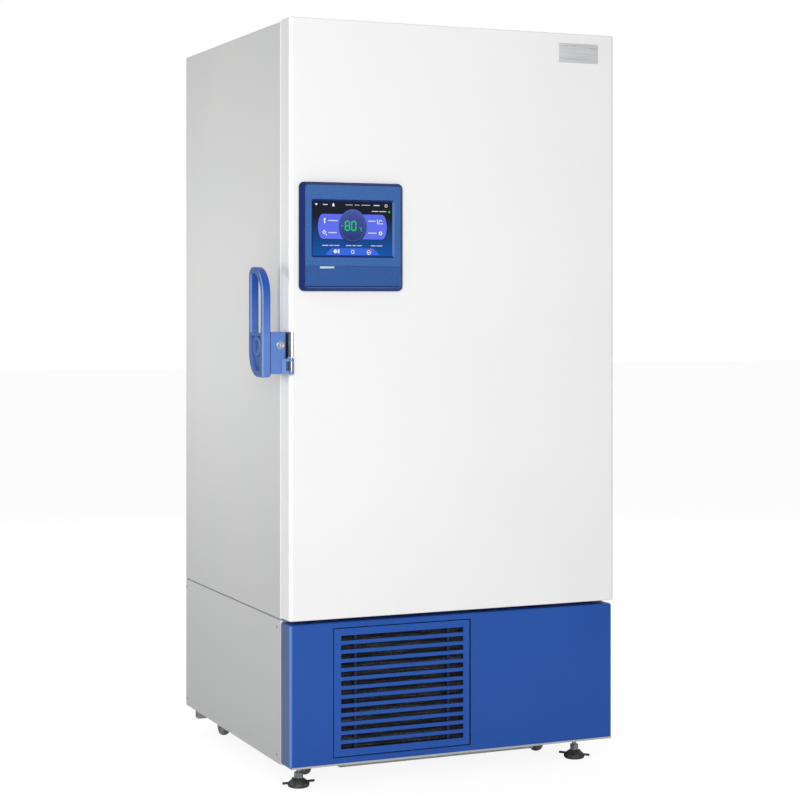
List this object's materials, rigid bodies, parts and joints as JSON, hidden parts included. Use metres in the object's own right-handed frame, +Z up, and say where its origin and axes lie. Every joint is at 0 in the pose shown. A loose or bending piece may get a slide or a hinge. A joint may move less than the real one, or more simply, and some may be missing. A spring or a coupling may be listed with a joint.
{
  "type": "ultra low temperature freezer",
  "caption": "Upright ultra low temperature freezer: latching side handle, touch panel, insulated inner doors, hinged air intake grille, casters and levelling feet.",
  "frame": {"origin": "bottom centre of the whole object's bounding box, on the floor", "axes": "+Z up along the height; +Y from the door's front to the back; +X from the handle's side to the hinge side"},
  "size_m": [1.0375, 0.936, 1.995],
  "materials": {
    "cabinet_enamel": "satin",
    "door_enamel": "satin",
    "blue_enamel": "satin",
    "blue_moulding": "satin",
    "stainless": "satin",
    "zinc_plate": "satin",
    "rigid_foam": "matt",
    "white_moulding": "satin",
    "white_rubber": "matt",
    "black_rubber": "matt",
    "black_enamel": "satin",
    "black_plastic": "matt",
    "grey_plastic": "matt",
    "filter_pad": "matt",
    "coil_aluminium": "satin",
    "copper_line": "satin",
    "screen_glass": "gloss",
    "lock_chrome": "gloss",
    "black_foam": "matt"
  },
  "bodies": {
    "cabinet": {"outer_shell": "cabinet_enamel", "back_panel": "cabinet_enamel", "cabinet_insulation": "rigid_foam", "inner_liner": "stainless", "throat_frame": "white_moulding", "shelves": "stainless", "shelf_rails": "stainless", "inner_door_seals": "white_rubber", "cabinet_hinges": "stainless", "latch_keeper": "stainless", "compartment_deck": "zinc_plate", "lower_side_left": "cabinet_enamel", "lower_side_right": "cabinet_enamel", "rear_cover": "cabinet_enamel", "front_panel": "blue_enamel", "air_filter": "filter_pad", "condenser": "coil_aluminium", "fan_shroud": "zinc_plate", "fan_motor": "black_enamel", "compressor_high_stage": "black_enamel", "compressor_low_stage": "black_enamel", "compressor_mounts": "black_rubber", "refrigerant_pipes": "copper_line", "heat_exchanger": "black_foam", "electrical_box": "cabinet_enamel", "base_pan": "cabinet_enamel", "base_frame": "zinc_plate", "caster_plates": "zinc_plate", "cable_gland": "black_plastic"},
    "door": {"door_skin": "door_enamel", "door_core": "rigid_foam", "door_liner": "white_moulding", "door_gasket": "white_rubber", "door_hinge_leaves": "stainless", "control_bezel": "blue_moulding", "touch_screen": "screen_glass", "display_module": "black_plastic", "handle_bracket": "stainless", "handle_pin": "stainless"},
    "handle": {"handle_lever": "blue_moulding", "latch_hook": "stainless"},
    "lock": {"lock_cylinder": "lock_chrome"},
    "flap": {"service_flap": "blue_moulding"},
    "inner_door_lower": {"inner_door_lower": "rigid_foam"},
    "inner_door_upper": {"inner_door_upper": "rigid_foam"},
    "grille": {"grille_door": "blue_moulding"},
    "fan": {"fan_blades": "black_plastic"},
    "foot_left": {"foot_pad_left": "black_rubber", "foot_stud_left": "zinc_plate"},
    "foot_right": {"foot_pad_right": "black_rubber", "foot_stud_right": "zinc_plate"},
    "caster_front_left": {"caster_fork_front_left": "zinc_plate"},
    "wheel_front_left": {"caster_wheel_front_left": "grey_plastic"},
    "caster_front_right": {"caster_fork_front_right": "zinc_plate"},
    "wheel_front_right": {"caster_wheel_front_right": "grey_plastic"},
    "caster_rear_left": {"caster_fork_rear_left": "zinc_plate"},
    "wheel_rear_left": {"caster_wheel_rear_left": "grey_plastic"},
    "caster_rear_right": {"caster_fork_rear_right": "zinc_plate"},
    "wheel_rear_right": {"caster_wheel_rear_right": "grey_plastic"}
  },
  "joints": [
    {"name": "door_hinge", "type": "hinge", "parent": "cabinet", "child": "door", "pos_m": [0.50975, -0.38, 1.2225], "axis": [0, 0, 1], "range_deg": [0, 110]},
    {"name": "handle_pivot", "type": "hinge", "parent": "door", "child": "handle", "pos_m": [-0.44425, -0.455, 1.103], "axis": [0, 0, 1], "range_deg": [0, 60]},
    {"name": "lock_turn", "type": "hinge", "parent": "handle", "child": "lock", "pos_m": [-0.46825, -0.44, 1.157], "axis": [0, 1, 0], "range_deg": [0, 90]},
    {"name": "flap_hinge", "type": "hinge", "parent": "door", "child": "flap", "pos_m": [-0.27955, -0.4645, 1.309], "axis": [1, 0, 0], "range_deg": [0, 90]},
    {"name": "inner_lower_hinge", "type": "hinge", "parent": "cabinet", "child": "inner_door_lower", "pos_m": [0.40925, -0.359, 0.872], "axis": [0, 0, 1], "range_deg": [0, 90]},
    {"name": "inner_upper_hinge", "type": "hinge", "parent": "cabinet", "child": "inner_door_upper", "pos_m": [0.40925, -0.359, 1.566], "axis": [0, 0, 1], "range_deg": [0, 90]},
    {"name": "grille_hinge", "type": "hinge", "parent": "cabinet", "child": "grille", "pos_m": [-0.31975, -0.443, 0.259], "axis": [0, 0, -1], "range_deg": [0, 105]},
    {"name": "fan_spin", "type": "hinge", "parent": "cabinet", "child": "fan", "pos_m": [-0.13225, -0.355, 0.259], "axis": [0, 1, 0], "continuous": true},
    {"name": "foot_left_turn", "type": "hinge", "parent": "cabinet", "child": "foot_left", "pos_m": [-0.38275, -0.34, 0], "axis": [0, 0, 1], "continuous": true},
    {"name": "foot_right_turn", "type": "hinge", "parent": "cabinet", "child": "foot_right", "pos_m": [0.43325, -0.34, 0], "axis": [0, 0, 1], "continuous": true},
    {"name": "swivel_front_left", "type": "hinge", "parent": "cabinet", "child": "caster_front_left", "pos_m": [-0.32275, -0.252, 0.066], "axis": [0, 0, 1], "continuous": true},
    {"name": "roll_front_left", "type": "hinge", "parent": "caster_front_left", "child": "wheel_front_left", "pos_m": [-0.32275, -0.222, 0.032], "axis": [1, 0, 0], "continuous": true},
    {"name": "swivel_front_right", "type": "hinge", "parent": "cabinet", "child": "caster_front_right", "pos_m": [0.37325, -0.252, 0.066], "axis": [0, 0, 1], "continuous": true},
    {"name": "roll_front_right", "type": "hinge", "parent": "caster_front_right", "child": "wheel_front_right", "pos_m": [0.37325, -0.222, 0.032], "axis": [1, 0, 0], "continuous": true},
    {"name": "swivel_rear_left", "type": "hinge", "parent": "cabinet", "child": "caster_rear_left", "pos_m": [-0.37275, 0.287, 0.066], "axis": [0, 0, 1], "continuous": true},
    {"name": "roll_rear_left", "type": "hinge", "parent": "caster_rear_left", "child": "wheel_rear_left", "pos_m": [-0.37275, 0.317, 0.032], "axis": [1, 0, 0], "continuous": true},
    {"name": "swivel_rear_right", "type": "hinge", "parent": "cabinet", "child": "caster_rear_right", "pos_m": [0.42325, 0.287, 0.066], "axis": [0, 0, 1], "continuous": true},
    {"name": "roll_rear_right", "type": "hinge", "parent": "caster_rear_right", "child": "wheel_rear_right", "pos_m": [0.42325, 0.317, 0.032], "axis": [1, 0, 0], "continuous": true}
  ],
  "couplings": [
    {"joint": "inner_lower_hinge", "follows": "door_hinge", "ratio": 0.8},
    {"joint": "inner_upper_hinge", "follows": "door_hinge", "ratio": 0.8}
  ]
}
